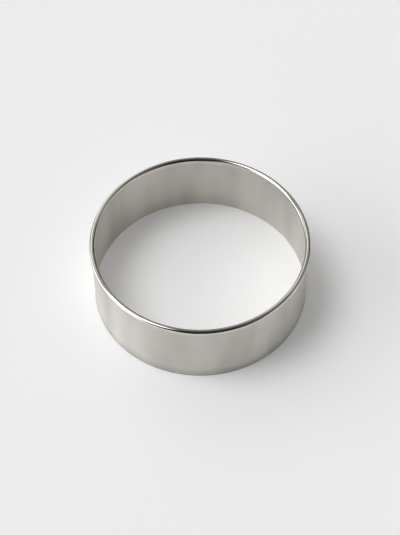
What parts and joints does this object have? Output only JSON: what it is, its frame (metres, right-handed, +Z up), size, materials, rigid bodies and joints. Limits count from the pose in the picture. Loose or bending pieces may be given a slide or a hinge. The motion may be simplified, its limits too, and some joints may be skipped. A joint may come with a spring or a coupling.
{
  "type": "pastry ring",
  "caption": "Round open stainless steel pastry ring for shaping or cutting dough: straight satin wall, plain cut lower edge and a polished rolled bead over a wire round the top rim.",
  "frame": {"origin": "middle of the ring, in the plane of the cut lower edge that it stands on", "axes": "+Z up along the ring's axis, from the cut edge to the bead; +X through the weld seam"},
  "size_m": [0.1, 0.1, 0.035],
  "materials": {
    "satin_sheet": "satin wall with a fine grain round the ring, polished bead",
    "ground_weld": "ground flush and brushed along with the sheet",
    "drawn_wire": "plain drawn wire"
  },
  "bodies": {
    "root": {"ring_band": "satin_sheet", "seam_weld": "ground_weld", "rim_wire": "drawn_wire"}
  },
  "joints": []
}
